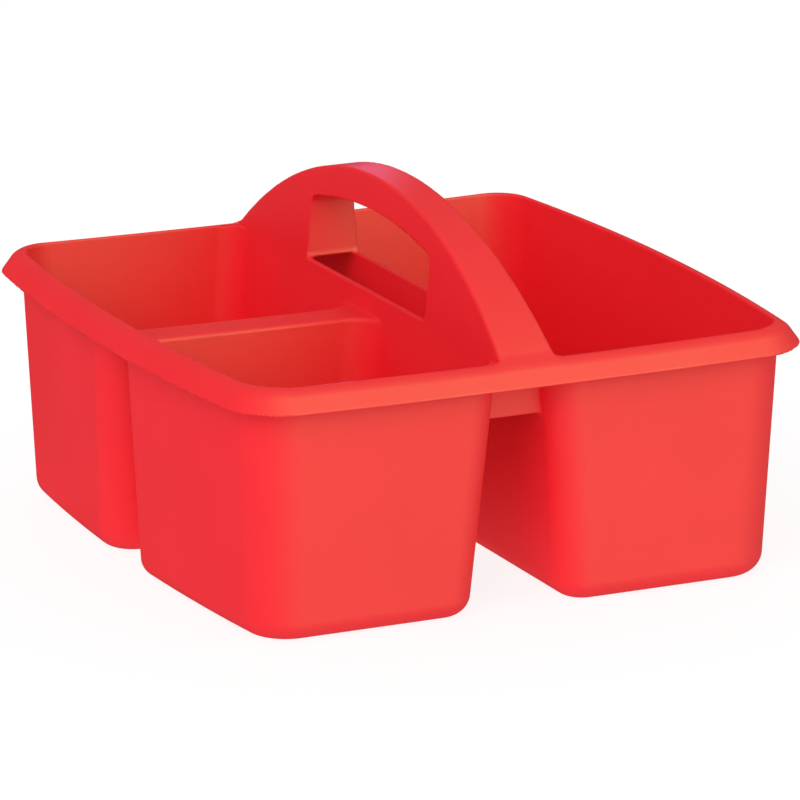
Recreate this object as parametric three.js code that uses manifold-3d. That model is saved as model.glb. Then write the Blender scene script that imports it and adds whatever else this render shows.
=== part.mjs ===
// Open caddy for art supplies: one thin-walled moulding with two small bins on
// the left, one long bin on the right, a flared rim round all of them and an
// arched carrying handle that runs from front to back between the bins.
// Units are millimetres, +Z is up, and the origin is on the floor under the
// middle of the rim. -Y is the front, -X is the side with the two small bins.
//
// The moulding is described as its regions. Each region is a solid of its own
// with the true wall thickness. Regions meet on shared horizontal planes, or
// stop 0.3 mm short of each other where the faces between them are sloped.
import * as THREE from 'three';
import { mergeVertices } from 'three/addons/utils/BufferGeometryUtils.js';
import Module from 'manifold-3d';

// ---- driving dimensions ---------------------------------------------------
const WIDTH = 228.6;          // over the rim, left to right, at mid depth
const DEPTH = 235.0;          // over the rim, front to back
const HEIGHT = 130.5;         // floor to the top of the handle
const SIDE_BOW = 8.8;         // how far the left and right rims bow outwards
const SIDE_BOW_FLOOR = 9.0;   // the same at the floor
const WALL = 2.0;             // wall thickness everywhere
const GAP = 0.3;              // clearance where sloped faces would touch

const Z_RIM = 89.75;          // crest of the rim
const Z_LIP = 81.75;          // lower edge of the flared rim
const Z_DECK = 82.25;         // top of the bridge between the two small bins
const Z_SPLIT = 80.25;        // plane where the bins end and the top begins

const RIM_R = 18.1;           // plan corner radius of the rim's outer edge
const WALL_INSET = 6.82;      // outer wall face, in from the rim's edge, at Z_LIP
const WALL_DRAFT = 0.0453;    // slope of the outer walls (2.6 degrees)
const LEFT_DRAFT = 0.041;     // slope of the left bins' outer side walls
const BIN_R = 15.2;           // outer corner radius at the outside corners
const WEB_R = 12.7;           // outer corner radius next to the handle web
const WEB_R_FLOOR = 11.0;     // the same at the floor
const GAP_R_FRONT = 9.0;      // outer corner radius of the front bin at the side gap
const GAP_R_BACK = 12.0;      // the same for the back bin
const FLOOR_R = 6.8;          // outer radius between walls and floor
const SIDE_GAP = 5.6;         // half the gap between the small bins, at Z_SPLIT
const GAP_DRAFT_FRONT = 0.035; // slope of the front bin's face in the gap
const GAP_DRAFT_BACK = 0.074;  // slope of the back bin's face in the gap
const WEB_IN_LEFT = 0.0947;   // slope of the left bins' faces in the web hollow
const WEB_IN_RIGHT = 0.0898;  // slope of the right bin's face in the web hollow

const WEB_X = -0.42;          // middle of the handle web
const WEB_HALF = 10.45;       // half width of the web at Z_RIM, over the skins
const WEB_DRAFT = 0.0947;     // slope of the web's faces (5.4 degrees)

const ARCH_R = 168.5;         // outer radius of the handle's arc
const HOLE_HALF = 49.3;       // half length of the hand hole
const HOLE_Z0 = 90.0;         // lower lip of the hand hole
const HOLE_Z1 = 112.7;        // upper corners of the hand hole
const HOLE_TOP = 118.3;       // highest point of the hand hole
const APRON_Y = 98.4;         // outer face of the cross walls in the web
const APRON_Z = 67.2;         // lower edge of those walls
const WEB_END = 108.2;        // where the web stops short of the rim wall

const HX = WIDTH / 2 - SIDE_BOW, HY = DEPTH / 2;
const ARCH_ZC = HEIGHT - ARCH_R;

// ---- plan curves ------------------------------------------------------------
const clamp = (v, a, b) => Math.min(b, Math.max(a, v));
const bowAt = (z) => SIDE_BOW_FLOOR + (SIDE_BOW - SIDE_BOW_FLOOR) * clamp(z / Z_LIP, 0, 1);
const bow = (x, y, z) => x + Math.sign(x) * bowAt(z) * (1 - (y / HY) ** 2)
  * clamp((Math.abs(x) - 20) / (HX - 20), 0, 1);

// Rounded rectangle, counter-clockwise from above, with a radius per corner in
// the order (x0,y0), (x1,y0), (x1,y1), (x0,y1), bowed outwards at the sides.
function plan(x0, x1, y0, y1, r, z, arc = 6, nx = 2, ny = 8) {
  const c = [[x0 + r[0], y0 + r[0], r[0], 180], [x1 - r[1], y0 + r[1], r[1], 270],
    [x1 - r[2], y1 - r[2], r[2], 0], [x0 + r[3], y1 - r[3], r[3], 90]];
  const pts = [];
  for (let k = 0; k < 4; k++) {
    const [cx, cy, cr, a0] = c[k];
    for (let i = 0; i <= arc; i++) {
      const a = (a0 + 90 * i / arc) * Math.PI / 180;
      pts.push([cx + cr * Math.cos(a), cy + cr * Math.sin(a)]);
    }
    const p = pts[pts.length - 1];
    const [nxc, nyc, nr, na] = c[(k + 1) % 4];
    const q = [nxc + nr * Math.cos(na * Math.PI / 180), nyc + nr * Math.sin(na * Math.PI / 180)];
    const n = k % 2 === 0 ? nx : ny;
    for (let i = 1; i < n; i++) pts.push([p[0] + (q[0] - p[0]) * i / n, p[1] + (q[1] - p[1]) * i / n]);
  }
  return pts.map(([x, y]) => [bow(x, y, z), y, z]);
}

// ---- mesh helpers -------------------------------------------------------------
// Loops of equal length joined in order; the two ends are closed with a fan.
function loft(loops, closed = false) {
  const n = loops[0].length, pos = [], idx = [];
  for (const l of loops) for (const p of l) pos.push(...p);
  const m = loops.length, last = closed ? m : m - 1;
  for (let i = 0; i < last; i++) {
    const a = i * n, b = ((i + 1) % m) * n;
    for (let k = 0; k < n; k++) {
      const k1 = (k + 1) % n;
      idx.push(a + k, a + k1, b + k1, a + k, b + k1, b + k);
    }
  }
  if (!closed) {
    for (const [row, flip] of [[0, true], [m - 1, false]]) {
      const l = loops[row], c = [0, 1, 2].map((j) => l.reduce((s, p) => s + p[j], 0) / n);
      const ci = pos.length / 3; pos.push(...c);
      for (let k = 0; k < n; k++) {
        const k1 = (k + 1) % n;
        if (flip) idx.push(ci, row * n + k1, row * n + k);
        else idx.push(ci, row * n + k, row * n + k1);
      }
    }
  }
  const g = new THREE.BufferGeometry();
  g.setAttribute('position', new THREE.Float32BufferAttribute(pos, 3));
  g.setIndex(idx);
  return outward(g);
}
// Turns the faces outwards if the volume comes out negative.
function outward(g) {
  const p = g.attributes.position, ix = g.index.array;
  const a = new THREE.Vector3(), b = new THREE.Vector3(), c = new THREE.Vector3();
  let v = 0;
  for (let i = 0; i < ix.length; i += 3) {
    a.fromBufferAttribute(p, ix[i]); b.fromBufferAttribute(p, ix[i + 1]); c.fromBufferAttribute(p, ix[i + 2]);
    v += a.dot(b.cross(c));
  }
  if (v < 0) for (let i = 0; i < ix.length; i += 3) { const t = ix[i]; ix[i] = ix[i + 1]; ix[i + 1] = t; }
  return g;
}
const merged = (g) => { g.deleteAttribute('normal'); g.deleteAttribute('uv'); return mergeVertices(g, 1e-5); };
// Convex solid with a quadrilateral section at each station.
const bar = (stations) => loft(stations);

const wasm = await Module();
wasm.setup();
function solid(g) {
  const h = merged(g);
  return new wasm.Manifold(new wasm.Mesh({
    numProp: 3, vertProperties: new Float32Array(h.attributes.position.array), triVerts: new Uint32Array(h.index.array),
  }));
}
function geometry(m) {
  const mesh = m.getMesh(), g = new THREE.BufferGeometry(), pos = new Float32Array(mesh.vertProperties.length / mesh.numProp * 3);
  for (let i = 0; i < pos.length / 3; i++) for (let j = 0; j < 3; j++) pos[i * 3 + j] = mesh.vertProperties[i * mesh.numProp + j];
  g.setAttribute('position', new THREE.BufferAttribute(pos, 3));
  g.setIndex(new THREE.BufferAttribute(new Uint32Array(mesh.triVerts), 1));
  return g;
}
function boxSolid(x0, x1, y0, y1, z0, z1) {
  const g = new THREE.BoxGeometry(x1 - x0, y1 - y0, z1 - z0);
  g.translate((x0 + x1) / 2, (y0 + y1) / 2, (z0 + z1) / 2);
  return solid(g);
}

// ---- web faces ------------------------------------------------------------------
const webHalf = (z) => WEB_HALF + WEB_DRAFT * (Z_RIM - z);        // over the skins
const webLeft = (z) => WEB_X - webHalf(z);                         // face in the left bins
const webRight = (z) => WEB_X + webHalf(z);                        // face in the right bin
const inset = (z, draft = WALL_DRAFT) => WALL_INSET + draft * (Z_LIP - z);
const leftInset = (z) => inset(z, z < Z_SPLIT ? LEFT_DRAFT : WALL_DRAFT) + (z < Z_SPLIT ? (WALL_DRAFT - LEFT_DRAFT) * (Z_LIP - Z_SPLIT) : 0);
const archZ = (y, r = ARCH_R) => ARCH_ZC + Math.sqrt(r * r - y * y);

// ---- bins -------------------------------------------------------------------------
// side(z) gives the four outer wall planes of the bin at height z, and radii(z)
// its four outer corner radii.
function bin(side, radii) {
  const outer = [], inner = [];
  const add = (list, z, extra, t) => {
    const [x0, x1, y0, y1] = side(z);
    const e = extra + t;
    list.push(plan(x0 + e, x1 - e, y0 + e, y1 - e, radii(z).map((r) => Math.max(r - e, 2.5)), z));
  };
  for (const a of [90, 60, 30, 0]) {
    const s = a * Math.PI / 180;
    add(outer, FLOOR_R * (1 - Math.sin(s)), FLOOR_R * (0.95 - Math.cos(s)) * (a > 0 ? 1 : 0), 0);
  }
  outer.reverse();
  outer.sort((p, q) => p[0][2] - q[0][2]);
  add(outer, Z_SPLIT, 0, 0);
  const ri = FLOOR_R - WALL;
  for (const a of [90, 60, 30, 0]) {
    const s = a * Math.PI / 180;
    add(inner, WALL + ri * (1 - Math.sin(s)), ri * (0.95 - Math.cos(s)) * (a > 0 ? 1 : 0), WALL);
  }
  inner.sort((p, q) => p[0][2] - q[0][2]);
  add(inner, Z_SPLIT, 0, WALL);
  return loft([...outer, ...inner.reverse()]);
}
const gapFront = (z) => -SIDE_GAP - GAP_DRAFT_FRONT * (Z_SPLIT - z);
const gapBack = (z) => SIDE_GAP + GAP_DRAFT_BACK * (Z_SPLIT - z);
const webInLeft = (z) => webLeft(Z_SPLIT) + WALL - WEB_IN_LEFT * (Z_SPLIT - z);
const webInRight = (z) => webRight(Z_SPLIT) - WALL + WEB_IN_RIGHT * (Z_SPLIT - z);
const webR = (z) => WEB_R_FLOOR + (WEB_R - WEB_R_FLOOR) * z / Z_SPLIT;
const rightBin = bin((z) => [webInRight(z), HX - inset(z), -HY + inset(z), HY - inset(z)],
  (z) => [webR(z), BIN_R, BIN_R, webR(z)]);
const frontLeftBin = bin((z) => [-HX + leftInset(z), webInLeft(z), -HY + inset(z), gapFront(z)],
  (z) => [BIN_R, webR(z), GAP_R_FRONT, GAP_R_FRONT]);
const backLeftBin = bin((z) => [-HX + leftInset(z), webInLeft(z), gapBack(z), HY - inset(z)],
  (z) => [GAP_R_BACK, GAP_R_BACK, webR(z), BIN_R]);

// ---- rim: upright collar on the bin walls, rounded crest and flared skirt -------------
const rimLoop = (e, z, r) => plan(-HX + e, HX - e, -HY + e, HY - e, [r, r, r, r], z, 7, 6, 12);
const collar = inset(Z_SPLIT);
const rimSection = [
  [collar + WALL, Z_SPLIT, BIN_R - WALL], [8.55, 87.4, 13.0], [7.75, 89.1, 12.6], [6.2, Z_RIM, 12.2], [5.2, 89.25, 12.9],
  [0.2, 82.4, 17.9], [0.0, 82.05, RIM_R], [0.35, Z_LIP, 17.8], [2.2, Z_LIP, 16.0], [6.5, 87.6, 14.6],
  [collar, Z_SPLIT, BIN_R],
];
let rim = solid(loft(rimSection.map(([e, z, r]) => rimLoop(e, z, r)), true));
for (const s of [-1, 1]) {
  const y0 = s < 0 ? -HY + 6.3 : HY - 10, y1 = s < 0 ? -HY + 10 : HY - 6.3;
  rim = rim.subtract(boxSolid(WEB_X - 9.2, WEB_X + 9.2, y0, y1, 79, 87.5));
}
const rimGeometry = geometry(rim);

// ---- handle web ---------------------------------------------------------------------
// A skin is the arched side plate with its hand hole, sheared to the web's slope.
function skin(sign) {
  const s = new THREE.Shape();
  s.moveTo(-WEB_END, Z_SPLIT);
  s.lineTo(WEB_END, Z_SPLIT);
  const n = 28, r = ARCH_R - WALL - GAP;
  for (let i = 0; i <= n; i++) { const y = WEB_END - 2 * WEB_END * i / n; s.lineTo(y, archZ(y, r)); }
  const h = new THREE.Path(), rise = HOLE_TOP - HOLE_Z1;
  const hr = (HOLE_HALF ** 2 + rise ** 2) / (2 * rise);
  h.moveTo(-HOLE_HALF, HOLE_Z0);
  for (let i = 0; i <= 12; i++) {
    const y = -HOLE_HALF + 2 * HOLE_HALF * i / 12;
    h.lineTo(y, HOLE_TOP - hr + Math.sqrt(hr * hr - y * y));
  }
  h.lineTo(HOLE_HALF, HOLE_Z0);
  h.closePath();
  s.holes.push(h);
  const g = new THREE.ExtrudeGeometry(s, { depth: WALL, bevelEnabled: false, curveSegments: 1 });
  const p = g.attributes.position;
  for (let i = 0; i < p.count; i++) {
    const y = p.getX(i), z = p.getY(i), d = p.getZ(i);
    p.setXYZ(i, WEB_X + sign * (webHalf(z) - d), y, z);
  }
  return outward(merged(g));
}
// The top band of the arch, full width over both skins.
const gripStations = [];
for (let i = 0; i <= 32; i++) {
  const y = -WEB_END + 2 * WEB_END * i / 32;
  const zt = archZ(y), zb = archZ(y, ARCH_R - WALL);
  gripStations.push([[webLeft(zb), y, zb], [webRight(zb), y, zb], [webRight(zt), y, zt], [webLeft(zt), y, zt]]);
}
const handleBand = bar(gripStations);

// Cross walls between the skins: y range, z range at the wall's two faces.
function crossWall(y0, y1, z0, top0, top1) {
  const f = (z) => [webLeft(z) + WALL + GAP, webRight(z) - WALL - GAP];
  const lo = f(z0), t0 = f(top0), t1 = f(top1);
  return bar([
    [[lo[0], y0, z0], [lo[1], y0, z0], [t0[1], y0, top0], [t0[0], y0, top0]],
    [[lo[0], y1, z0], [lo[1], y1, z0], [t1[1], y1, top1], [t1[0], y1, top1]],
  ]);
}
const under = (y) => archZ(y, ARCH_R - WALL) - GAP;
const jamb = (s) => {
  const a = s * HOLE_HALF, b = s * (HOLE_HALF + WALL), y0 = Math.min(a, b), y1 = Math.max(a, b);
  return crossWall(y0, y1, HOLE_Z0, under(y0), under(y1));
};
const apron = (s) => {
  const a = s * APRON_Y, b = s * (APRON_Y - WALL), y0 = Math.min(a, b), y1 = Math.max(a, b);
  return crossWall(y0, y1, APRON_Z, under(y0), under(y1));
};

// ---- bridge between the two small bins ---------------------------------------------------
const bridge = new THREE.BoxGeometry(1, 1, 1);
{
  const x0 = -104.1, x1 = webLeft(Z_SPLIT) - GAP, y = SIDE_GAP + WALL;
  bridge.scale(x1 - x0, 2 * y, Z_DECK - Z_SPLIT);
  bridge.translate((x0 + x1) / 2, 0, (Z_SPLIT + Z_DECK) / 2);
}

// ---- assembly --------------------------------------------------------------------------------
const red = () => new THREE.MeshStandardMaterial({ color: 0xeb1c2a, roughness: 0.42, metalness: 0.0 });
const group = new THREE.Group();
function piece(name, geom) {
  const g = merged(geom);
  g.computeVertexNormals();
  const m = new THREE.Mesh(g, red());
  m.name = name;
  group.add(m);
}
piece('front_left_bin', frontLeftBin);
piece('back_left_bin', backLeftBin);
piece('right_bin', rightBin);
piece('rim_flange', rimGeometry);
piece('bin_bridge', bridge);
piece('handle_left_skin', skin(-1));
piece('handle_right_skin', skin(1));
piece('handle_grip_band', handleBand);
piece('hand_hole_front_jamb', jamb(-1));
piece('hand_hole_back_jamb', jamb(1));
piece('front_cross_wall', apron(-1));
piece('back_cross_wall', apron(1));

export default group;
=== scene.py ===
import math

import bpy
import bmesh
import numpy as np
from math import radians
from mathutils import Matrix, Vector


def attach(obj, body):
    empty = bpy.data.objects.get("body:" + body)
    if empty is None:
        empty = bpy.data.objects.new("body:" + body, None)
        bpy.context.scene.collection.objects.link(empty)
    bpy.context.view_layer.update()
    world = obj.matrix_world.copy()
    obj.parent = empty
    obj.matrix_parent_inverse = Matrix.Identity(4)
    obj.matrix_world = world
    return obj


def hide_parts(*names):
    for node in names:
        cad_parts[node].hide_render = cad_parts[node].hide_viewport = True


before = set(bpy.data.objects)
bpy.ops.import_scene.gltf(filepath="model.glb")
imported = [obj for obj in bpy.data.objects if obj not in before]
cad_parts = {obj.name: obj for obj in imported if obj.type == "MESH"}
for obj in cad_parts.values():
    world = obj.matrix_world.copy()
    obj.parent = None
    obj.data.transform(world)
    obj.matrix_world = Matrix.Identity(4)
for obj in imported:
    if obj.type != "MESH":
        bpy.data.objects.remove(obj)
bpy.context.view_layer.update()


scene = bpy.context.scene
scene.view_settings.view_transform = "Standard"
scene.view_settings.look = "None"

# ---- camera ---------------------------------------------------------------
cam_data = bpy.data.cameras.new("camera")
cam_data.lens = 281.6
cam_data.sensor_width = 36.0
cam_data.clip_start = 0.05
cam_data.clip_end = 60.0
cam = bpy.data.objects.new("camera", cam_data)
scene.collection.objects.link(cam)
vx = Vector((0.90610388, -0.42305324, -0.00131049))
vy = Vector((0.11412812, 0.24145671, 0.96367704))
vz = Vector((-0.40737027, -0.87334106, 0.26706713))
cam.matrix_world = Matrix((
    (vx.x, vy.x, vz.x, -0.90009), (vx.y, vy.y, vz.y, -1.93630), (vx.z, vy.z, vz.z, 0.63998), (0, 0, 0, 1)))
scene.camera = cam

# ---- the moulding as a distance field, in millimetres -------------------------
WIDTH, DEPTH, HEIGHT = 228.6, 235.0, 130.5
BOW_RIM, BOW_FLOOR = 8.8, 9.0
WALL = 2.0
Z_RIM, Z_LIP, Z_DECK, Z_SPLIT = 89.75, 81.75, 82.25, 80.25
RIM_R, WALL_INSET, WALL_DRAFT, LEFT_DRAFT = 18.1, 6.82, 0.0453, 0.041
BIN_R, WEB_R, WEB_R_TOP, GAP_RF, GAP_RB, FLOOR_R = 15.2, 11.0, 0.8, 9.0, 13.0, 6.8
SIDE_GAP, GAP_DF, GAP_DB = 5.6, 0.035, 0.074
WEB_X, WEB_HALF, WEB_DRAFT, IN_L, IN_R = -0.42, 10.45, 0.0947, 0.0947, 0.0898
ARCH_R = 168.5
HOLE_HALF, HOLE_Z0, HOLE_Z1, HOLE_TOP = 49.3, 90.0, 112.7, 118.3
APRON_Y, APRON_Z = 98.4, 67.2
CROWN = 1.19
HX, HY = WIDTH / 2 - BOW_RIM, DEPTH / 2
ARCH_ZC = HEIGHT - ARCH_R
f4 = np.float32


def hyp(a, b):
    return np.sqrt(a * a + b * b)


def r_and(a, b, r):  # both inside, with a rounded edge
    return np.minimum(-r, np.maximum(a, b)) + hyp(np.maximum(a + r, 0), np.maximum(b + r, 0))


def r_or(a, b, r):  # either inside, with a filleted corner
    return np.maximum(r, np.minimum(a, b)) - hyp(np.maximum(r - a, 0), np.maximum(r - b, 0))


def rect(x, y, x0, x1, y0, y1, r00, r10, r11, r01):
    """Distance to a rectangle in plan whose four corners have their own radii."""
    cx, cy = (x0 + x1) / 2, (y0 + y1) / 2
    px, py = x - cx, y - cy
    r = np.where(px > 0, np.where(py > 0, r11, r10), np.where(py > 0, r01, r00)).astype(f4)
    qx, qy = np.abs(px) - (x1 - x0) / 2 + r, np.abs(py) - (y1 - y0) / 2 + r
    return np.minimum(np.maximum(qx, qy), 0) + hyp(np.maximum(qx, 0), np.maximum(qy, 0)) - r


def inset(z, draft=WALL_DRAFT):
    return WALL_INSET + draft * (Z_LIP - z)


def caddy(X, Y, Z):
    """Signed distance (near the surface) to the moulding."""
    # the rim rises a little towards both sides, and the sides bow outwards
    c = CROWN * (X / 114.3) ** 2
    z = np.where(Z < Z_RIM + c, Z / (1 + c / Z_RIM), Z - c).astype(f4)
    b = BOW_FLOOR + (BOW_RIM - BOW_FLOOR) * np.clip(z / Z_LIP, 0, 1)
    b = b * (1 - (Y / HY) ** 2)
    ax = np.abs(X)
    x = np.where(ax < 20, X, np.sign(X) * (20 + (ax - 20) / (1 + b / (HX - 20)))).astype(f4)
    y = Y

    below = np.minimum(z - Z_SPLIT, 0)       # how far under the split plane, negative
    wh = WEB_HALF + WEB_DRAFT * (Z_RIM - np.maximum(z, Z_SPLIT))
    web_l = WEB_X - wh + IN_L * below         # face inside the left bins
    web_r = WEB_X + wh - IN_R * below         # face inside the right bin
    i_all = inset(z) + WALL
    i_left = i_all + (WALL_DRAFT - LEFT_DRAFT) * below
    wr, wt = f4(WEB_R - WALL), f4(WEB_R_TOP)
    br = f4(BIN_R - WALL)
    gf = -SIDE_GAP - WALL + GAP_DF * below
    gb = SIDE_GAP + WALL - GAP_DB * below
    xl, xr, yf, yb = -HX + i_left, HX - i_all, -HY + i_all, HY - i_all
    fr = FLOOR_R - WALL

    right = r_and(rect(x, y, web_r, xr, yf, yb, wr, br, br, wr), 2 - z, fr)
    front = r_and(rect(x, y, xl, web_l, yf, gf, br, wr, f4(GAP_RB - WALL), f4(GAP_RF - WALL)), 2 - z, fr)
    back = r_and(rect(x, y, xl, web_l, gb, yb, f4(GAP_RB - WALL), f4(GAP_RB - WALL), wr, br), 2 - z, fr)
    left = r_or(np.minimum(front, back), Z_DECK - z, 1.5)      # open above the deck
    left = np.maximum(left, rect(x, y, xl, web_l, yf, yb, br, wr, wr, br))
    around = np.minimum(left, right)
    # at the crest the corners at the web are cut square, with a small ledge under them
    square = np.minimum(rect(x, y, xl, web_l, yf, yb, br, wt, wt, br), rect(x, y, web_r, xr, yf, yb, wt, br, br, wt))
    cav = np.minimum(around, np.maximum(square, Z_RIM - 0.6 - z))

    # rim: flat crest, straight skirt down to the lip
    o = rect(x, y, -HX, HX, -HY, HY, f4(RIM_R), f4(RIM_R), f4(RIM_R), f4(RIM_R))
    skirt = 0.8078 * (o + 0.2) + 0.5896 * (z - 82.4)
    # the arch, as a slab over the web, grows out of the flat crest
    arch = hyp(y, z - ARCH_ZC) - ARCH_R
    arch = r_and(arch, np.abs(x - WEB_X) - wh - 1.0, 1.6)
    top = r_or(z - Z_RIM, arch, 2.0)
    top = r_and(r_and(top, skirt, 2.8), o, 0.4)

    wall = around - WALL
    side = np.abs(y)
    # a thicker band behind the ledges
    wall = np.minimum(wall, np.maximum(np.maximum(wall - 2.2, np.abs(z - Z_RIM + 1.6) - 1.0), 88 - side))
    apron = np.maximum(np.maximum(side - APRON_Y, APRON_Y - WALL - side), np.maximum(APRON_Z - z, np.abs(x - WEB_X) - 16))
    jamb = np.maximum(np.maximum(side - HOLE_HALF - WALL, HOLE_HALF - 0.4 - side), np.maximum(HOLE_Z0 - z, np.abs(x - WEB_X) - wh))
    flange = np.maximum(-WALL - top, Z_LIP - z)
    body = r_or(wall, apron, 1.2)
    body = np.minimum(body, r_or(wall, jamb, 1.2))
    body = r_or(body, flange, 1.4)
    body = r_and(body, r_and(top, -cav, 0.9), 0.6)

    # the hand hole, through both skins
    rise = HOLE_TOP - HOLE_Z1
    hr = (HOLE_HALF ** 2 + rise ** 2) / (2 * rise)
    hole = r_and(side - HOLE_HALF, hyp(y, z - (HOLE_TOP - hr)) - hr, 3.0)
    hole = r_and(hole, HOLE_Z0 - z, 2.0)
    hole = np.maximum(hole, np.abs(x - WEB_X) - 16)
    return r_and(body, -hole, 0.6).astype(f4)


PIECES = ["front_left_bin", "back_left_bin", "right_bin", "rim_flange", "bin_bridge", "handle_left_skin",
          "handle_right_skin", "handle_grip_band", "hand_hole_front_jamb", "hand_hole_back_jamb",
          "front_cross_wall", "back_cross_wall"]


def region(x, y, z):
    """Which named region of the moulding a point inside the plastic belongs to, 1 to 12."""
    dx, ay = x - WEB_X, np.abs(y)
    below = np.minimum(z - Z_SPLIT, 0)
    wh = WEB_HALF + WEB_DRAFT * (Z_RIM - np.maximum(z, Z_SPLIT))
    hollow = (dx > -wh + WALL + IN_L * below) & (dx < wh - WALL - IN_R * below)
    bins = np.where(dx > 0, 3, np.where(y < 0, 1, 2))
    cross = np.where(y < 0, 11, 12)
    band = hyp(y, z - ARCH_ZC) > ARCH_R - WALL
    low = np.where(hollow, cross, bins)
    web = np.where(band, 8, np.where(hollow & (ay > 90), cross, np.where(hollow & (ay < 60), np.where(y < 0, 9, 10),
                                                                   np.where(dx < 0, 6, 7))))
    high = np.where((np.abs(dx) < wh) & (ay < 108.2), web, 4)
    high = np.where((dx < -wh) & (x > -104.1) & (ay < SIDE_GAP + WALL) & (z < Z_DECK + 0.3), 5, high)
    return np.where(z < Z_SPLIT, low, high).astype(np.int8)


def axis(lo, hi, spans, h, coarse):
    """Grid lines from lo to hi: each span has its own spacing (times h), which widens away from it."""
    v = [lo]
    while v[-1] < hi:
        p = v[-1]
        v.append(p + min([coarse] + [k * h + 0.45 * max(a - p, p - b, 0) for a, b, k in spans]))
    return np.array(v, f4)


def extract(h, coarse):
    """Surface nets on an uneven grid: one vertex in each cell whose corners differ in label, placed at the mean of
    the crossings on its edges.
    """
    ax_ = axis(-116.5, 116.5, [(-116.5, -84, 1), (-31, 31, 1), (84, 116.5, 1)], h, coarse)
    k = min(2, 1.6 / h)                      # the arch's 2 mm wall slopes here
    ay_ = axis(-119.5, 119.5, [(-119.5, -91, 1), (-54, -46, 1), (-20, 26, 1), (46, 54, 1), (91, 119.5, 1),
                               (-91, -54, k), (54, 91, k)], h, coarse)
    az_ = axis(-1.2, 132.5, [(-1.2, 9, 1), (66, 132.5, 1)], h, coarse)
    V = np.empty((len(ax_), len(ay_), len(az_)), f4)
    for i in range(0, len(ax_), 16):
        g = np.meshgrid(ax_[i:i + 16], ay_, az_, indexing="ij")
        V[i:i + 16] = caddy(*g)
    inside = V < 0
    L = np.zeros(V.shape, np.int8)
    I = np.nonzero(inside)
    L[I] = region(ax_[I[0]], ay_[I[1]], az_[I[2]])
    # cells whose eight corners don't all carry the same label
    lo = L[:-1, :-1, :-1].copy(); hi = lo.copy()
    for dx, dy, dz in [(1, 0, 0), (0, 1, 0), (0, 0, 1), (1, 1, 0), (1, 0, 1), (0, 1, 1), (1, 1, 1)]:
        c = L[dx:V.shape[0] - 1 + dx, dy:V.shape[1] - 1 + dy, dz:V.shape[2] - 1 + dz]
        np.minimum(lo, c, out=lo); np.maximum(hi, c, out=hi)
    act = lo != hi
    ci, cj, ck = np.nonzero(act)
    idx = np.full(act.shape, -1, np.int64)
    idx[ci, cj, ck] = np.arange(len(ci))
    outer = lo[ci, cj, ck] == 0
    acc = np.zeros((len(ci), 3)); cnt = np.zeros(len(ci))
    corners = [(0, 0, 0), (1, 0, 0), (0, 1, 0), (1, 1, 0), (0, 0, 1), (1, 0, 1), (0, 1, 1), (1, 1, 1)]
    val = [V[ci + a, cj + b, ck + c].astype(float) for a, b, c in corners]
    lab = [L[ci + a, cj + b, ck + c] for a, b, c in corners]
    pos = [np.column_stack([ax_[ci + a], ay_[cj + b], az_[ck + c]]).astype(float) for a, b, c in corners]
    for a in range(8):
        for b in range(a + 1, 8):
            if sum(abs(p - q) for p, q in zip(corners[a], corners[b])) != 1:
                continue
            out = (val[a] < 0) != (val[b] < 0)
            s = np.where(outer, out, lab[a] != lab[b])
            t = np.where(out, val[a] / np.where(out, val[a] - val[b], 1), 0.5)[:, None]
            acc += np.where(s[:, None], pos[a] + t * (pos[b] - pos[a]), 0); cnt += s
    P = acc / cnt[:, None]
    # quads round each grid edge whose ends differ: (corner cells, label inside, label beyond)
    quads, one, two = [], [], []
    for a in range(3):
        u, w = [(1, 2), (2, 0), (0, 1)][a]
        sl = [slice(None)] * 3; sh = [slice(None)] * 3
        sl[a] = slice(0, -1); sh[a] = slice(1, None)
        for d in (u, w):
            sl[d] = slice(1, -1); sh[d] = slice(1, -1)
        A, B = L[tuple(sl)], L[tuple(sh)]
        e = list(np.nonzero(A != B))
        la, lb = A[tuple(e)], B[tuple(e)]
        e[u] = e[u] + 1; e[w] = e[w] + 1

        def cell(du, dw):
            q = [k.copy() for k in e]; q[u] = q[u] + du; q[w] = q[w] + dw
            return idx[q[0], q[1], q[2]]
        Q = np.column_stack([cell(-1, -1), cell(0, -1), cell(0, 0), cell(-1, 0)])
        quads += [Q, Q[:, ::-1]]; one += [la, lb]; two += [lb, la]
    return P, outer, np.concatenate(quads), np.concatenate(one), np.concatenate(two)


def grad(P, e=0.05):
    g = np.empty_like(P)
    for k in range(3):
        d = np.zeros(3); d[k] = e
        a, b = P + d, P - d
        g[:, k] = (caddy64(a) - caddy64(b)) / (2 * e)
    return g


def caddy64(P):
    global f4
    keep, f4 = f4, np.float64
    try:
        return caddy(P[:, 0].copy(), P[:, 1].copy(), P[:, 2].copy())
    finally:
        f4 = keep


def settle(P, steps=4, cap=0.5):
    for _ in range(steps):
        v, g = caddy64(P), grad(P)
        s = -(v / np.maximum((g * g).sum(1), 0.2))[:, None] * g
        ln = np.linalg.norm(s, axis=1, keepdims=True)
        P = P + s * np.minimum(1, cap / np.maximum(ln, 1e-9))
    return P


P, outer, Q, ONE, TWO = extract(0.8, 4.0)
P[outer] = settle(P[outer])
N = np.zeros_like(P)
N[outer] = grad(P[outer])
N /= np.maximum(np.linalg.norm(N, axis=1, keepdims=True), 1e-9)
print("moulding: %d vertices, %d faces, worst %.3f mm" % (len(P), len(Q), np.abs(caddy64(P[outer])).max()))


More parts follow.
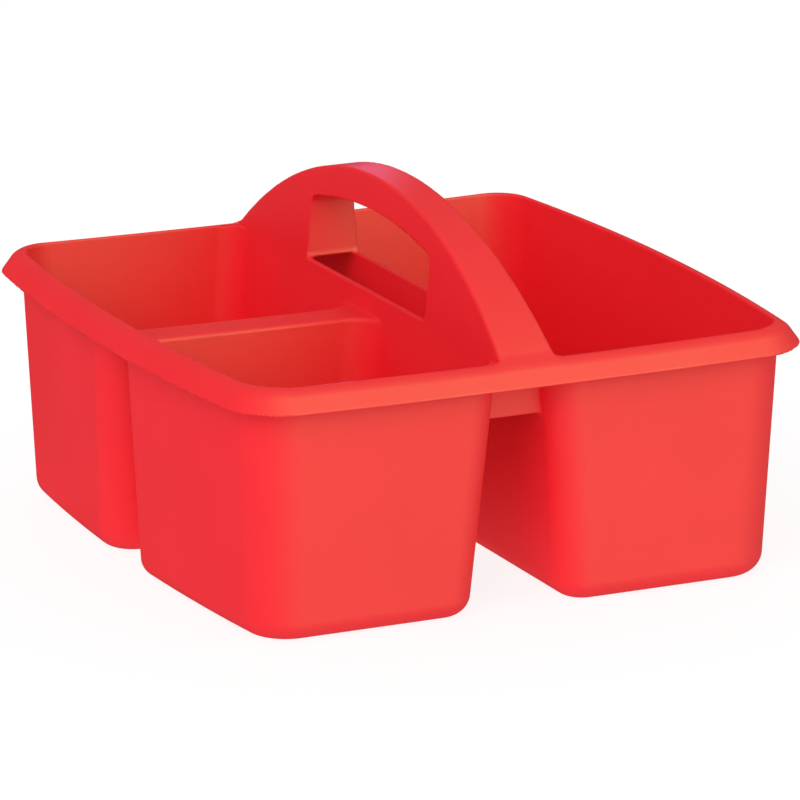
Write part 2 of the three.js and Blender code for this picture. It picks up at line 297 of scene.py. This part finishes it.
# ---- material ---------------------------------------------------------------------
def plastic():
    m = bpy.data.materials.new("moulded_plastic")
    m.use_nodes = True
    nt = m.node_tree; nt.nodes.clear()
    out = nt.nodes.new("ShaderNodeOutputMaterial")
    bs = nt.nodes.new("ShaderNodeBsdfPrincipled")
    nt.links.new(bs.outputs["BSDF"], out.inputs["Surface"])
    tc = nt.nodes.new("ShaderNodeTexCoord")
    bs.inputs["Base Color"].default_value = (0.88, 0.0120, 0.0235, 1)
    bs.inputs["Roughness"].default_value = 0.60
    bs.inputs["IOR"].default_value = 1.49
    bs.inputs["Specular IOR Level"].default_value = 0.36

    def noise(scale, detail, rough=0.5):
        n = nt.nodes.new("ShaderNodeTexNoise")
        n.inputs["Scale"].default_value = scale
        n.inputs["Detail"].default_value = detail
        n.inputs["Roughness"].default_value = rough
        nt.links.new(tc.outputs["Object"], n.inputs["Vector"])
        return n

    def ramp(src, a, b, lo, hi):
        r = nt.nodes.new("ShaderNodeMapRange")
        r.inputs["From Min"].default_value = a; r.inputs["From Max"].default_value = b
        r.inputs["To Min"].default_value = lo; r.inputs["To Max"].default_value = hi
        nt.links.new(src, r.inputs["Value"])
        return r.outputs["Result"]
    # pigment: slight cloudiness in the red
    mix = nt.nodes.new("ShaderNodeMix"); mix.data_type = "RGBA"
    mix.inputs["A"].default_value = (0.865, 0.0112, 0.0225, 1)
    mix.inputs["B"].default_value = (0.895, 0.0128, 0.0250, 1)
    nt.links.new(ramp(noise(18, 3).outputs["Fac"], 0.35, 0.65, 0, 1), mix.inputs["Factor"])
    nt.links.new(mix.outputs["Result"], bs.inputs["Base Color"])
    # finish: roughness varies with flow of the melt and handling
    nt.links.new(ramp(noise(26, 4).outputs["Fac"], 0.3, 0.7, 0.56, 0.64), bs.inputs["Roughness"])
    bump = nt.nodes.new("ShaderNodeBump")
    bump.inputs["Strength"].default_value = 0.12
    bump.inputs["Distance"].default_value = 0.0001
    nt.links.new(noise(1900, 2).outputs["Fac"], bump.inputs["Height"])
    nt.links.new(bump.outputs["Normal"], bs.inputs["Normal"])
    return m


red = plastic()


# ---- mesh pieces ---------------------------------------------------------------------
def build(name, k):
    """One region as a closed mesh: its share of the skin, and its flat faces against its neighbours."""
    m = ONE == k
    q, inner = Q[m], TWO[m] != 0
    used, inv = np.unique(q, return_inverse=True)
    p, q = P[used], inv.reshape(q.shape)
    c = p[q]
    fn = np.cross(c[:, 2] - c[:, 0], c[:, 3] - c[:, 1])
    fn /= np.maximum(np.linalg.norm(fn, axis=1, keepdims=True), 1e-12)
    ln = N[used][q]
    flat = inner[:, None] | (np.einsum("ijk,ik->ij", ln, fn) < 0.2)
    ln = np.where(flat[:, :, None], fn[:, None, :], ln)
    me = bpy.data.meshes.new(name)
    me.vertices.add(len(p)); me.vertices.foreach_set("co", (p * 0.001).astype(np.float32).ravel())
    me.loops.add(q.size); me.loops.foreach_set("vertex_index", q.ravel().astype(np.int32))
    me.polygons.add(len(q)); me.polygons.foreach_set("loop_start", (np.arange(len(q)) * 4).astype(np.int32))
    me.update(calc_edges=True)
    me.polygons.foreach_set("use_smooth", np.ones(len(q), bool))
    me.normals_split_custom_set(ln.reshape(-1, 3).tolist())
    me.materials.append(red)
    ob = bpy.data.objects.new(name, me)
    scene.collection.objects.link(ob)
    return ob


for k, node in enumerate(PIECES, 1):
    piece = build(node + "_moulding", k)
    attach(piece, "root")
    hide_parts(node)

# ---- stage: pale floor and soft lights ----------------------------------------------------
fl = bpy.data.meshes.new("floor")
fl.from_pydata([(-6, -6, 0), (6, -6, 0), (6, 6, 0), (-6, 6, 0)], [], [(0, 1, 2, 3)])
floor = bpy.data.objects.new("floor", fl)
scene.collection.objects.link(floor)
fm = bpy.data.materials.new("floor"); fm.use_nodes = True
fb = fm.node_tree.nodes["Principled BSDF"]
fb.inputs["Base Color"].default_value = (0.15, 0.15, 0.15, 1)
fb.inputs["Roughness"].default_value = 0.9
fb.inputs["Specular IOR Level"].default_value = 0.0
fb.inputs["Emission Color"].default_value = (1, 1, 1, 1)
fb.inputs["Emission Strength"].default_value = 0.87
fl.materials.append(fm)
floor.location.z = -0.0002
floor.visible_glossy = False

world = bpy.data.worlds.new("world"); scene.world = world
world.use_nodes = True
world.node_tree.nodes["Background"].inputs["Color"].default_value = (1, 1, 1, 1)
world.node_tree.nodes["Background"].inputs["Strength"].default_value = 0.006


def soft(name, towards, angle, rgb, gloss):
    """A distant softbox seen in one direction: it either lights the plastic or shows in its gloss."""
    d = bpy.data.lights.new(name, "SUN")
    top = max(rgb)
    d.energy = top; d.color = [c / top for c in rgb]
    d.angle = radians(angle)
    o = bpy.data.objects.new(name, d)
    o.rotation_euler = (-Vector(towards)).to_track_quat("-Z", "Y").to_euler()
    o.visible_diffuse = not gloss; o.visible_glossy = gloss
    scene.collection.objects.link(o)


soft("tent_top", (0, 0, 1), 165, (1.59, 1.59, 1.56), False)
soft("fill_front", (0, -1, 0.4), 80, (0.42, 0.42, 0.41), False)
soft("fill_left", (-1, -0.15, 0.35), 80, (0.45, 0.45, 0.44), False)
soft("key", (-0.75, -0.65, 0.75), 40, (1.10, 1.10, 1.08), False)
soft("fill_right", (0.8, -0.2, 0.6), 70, (0.32, 0.32, 0.31), False)
soft("fill_back", (0.1, 0.8, 0.6), 70, (0.36, 0.36, 0.35), False)
soft("gloss_front_wide", (0.3, -0.9, 0.1), 110, (0.5, 1.7, 0.2), True)
soft("gloss_front", (0.3, -0.87, 0.3), 50, (2.3, 5.1, 2.8), True)
soft("gloss_high", (0.25, -0.72, 0.65), 50, (0.7, 1.9, 0.5), True)
soft("gloss_top", (0.1, -0.5, 0.86), 50, (0.3, 0.6, 0.3), True)

# a small cool glint on the crown of the handle
gd = bpy.data.lights.new("glint", "SPOT")
gd.energy = 11; gd.color = (0.9, 0.48, 1.0)
gd.spot_size = radians(1.0); gd.spot_blend = 0.6; gd.shadow_soft_size = 0.008
glint = bpy.data.objects.new("glint", gd)
crown = Vector((WEB_X * 0.001, -0.004, HEIGHT * 0.001))
glint.location = crown + 1.5 * Vector((0.40, 0.87, 0.27)).normalized()
aim = crown + Vector((0, 0.020, 0.003))
glint.rotation_euler = (aim - glint.location).to_track_quat("-Z", "Y").to_euler()
glint.visible_diffuse = False
scene.collection.objects.link(glint)

# ---- finish -------------------------------------------------------------------------------
bpy.context.view_layer.update()
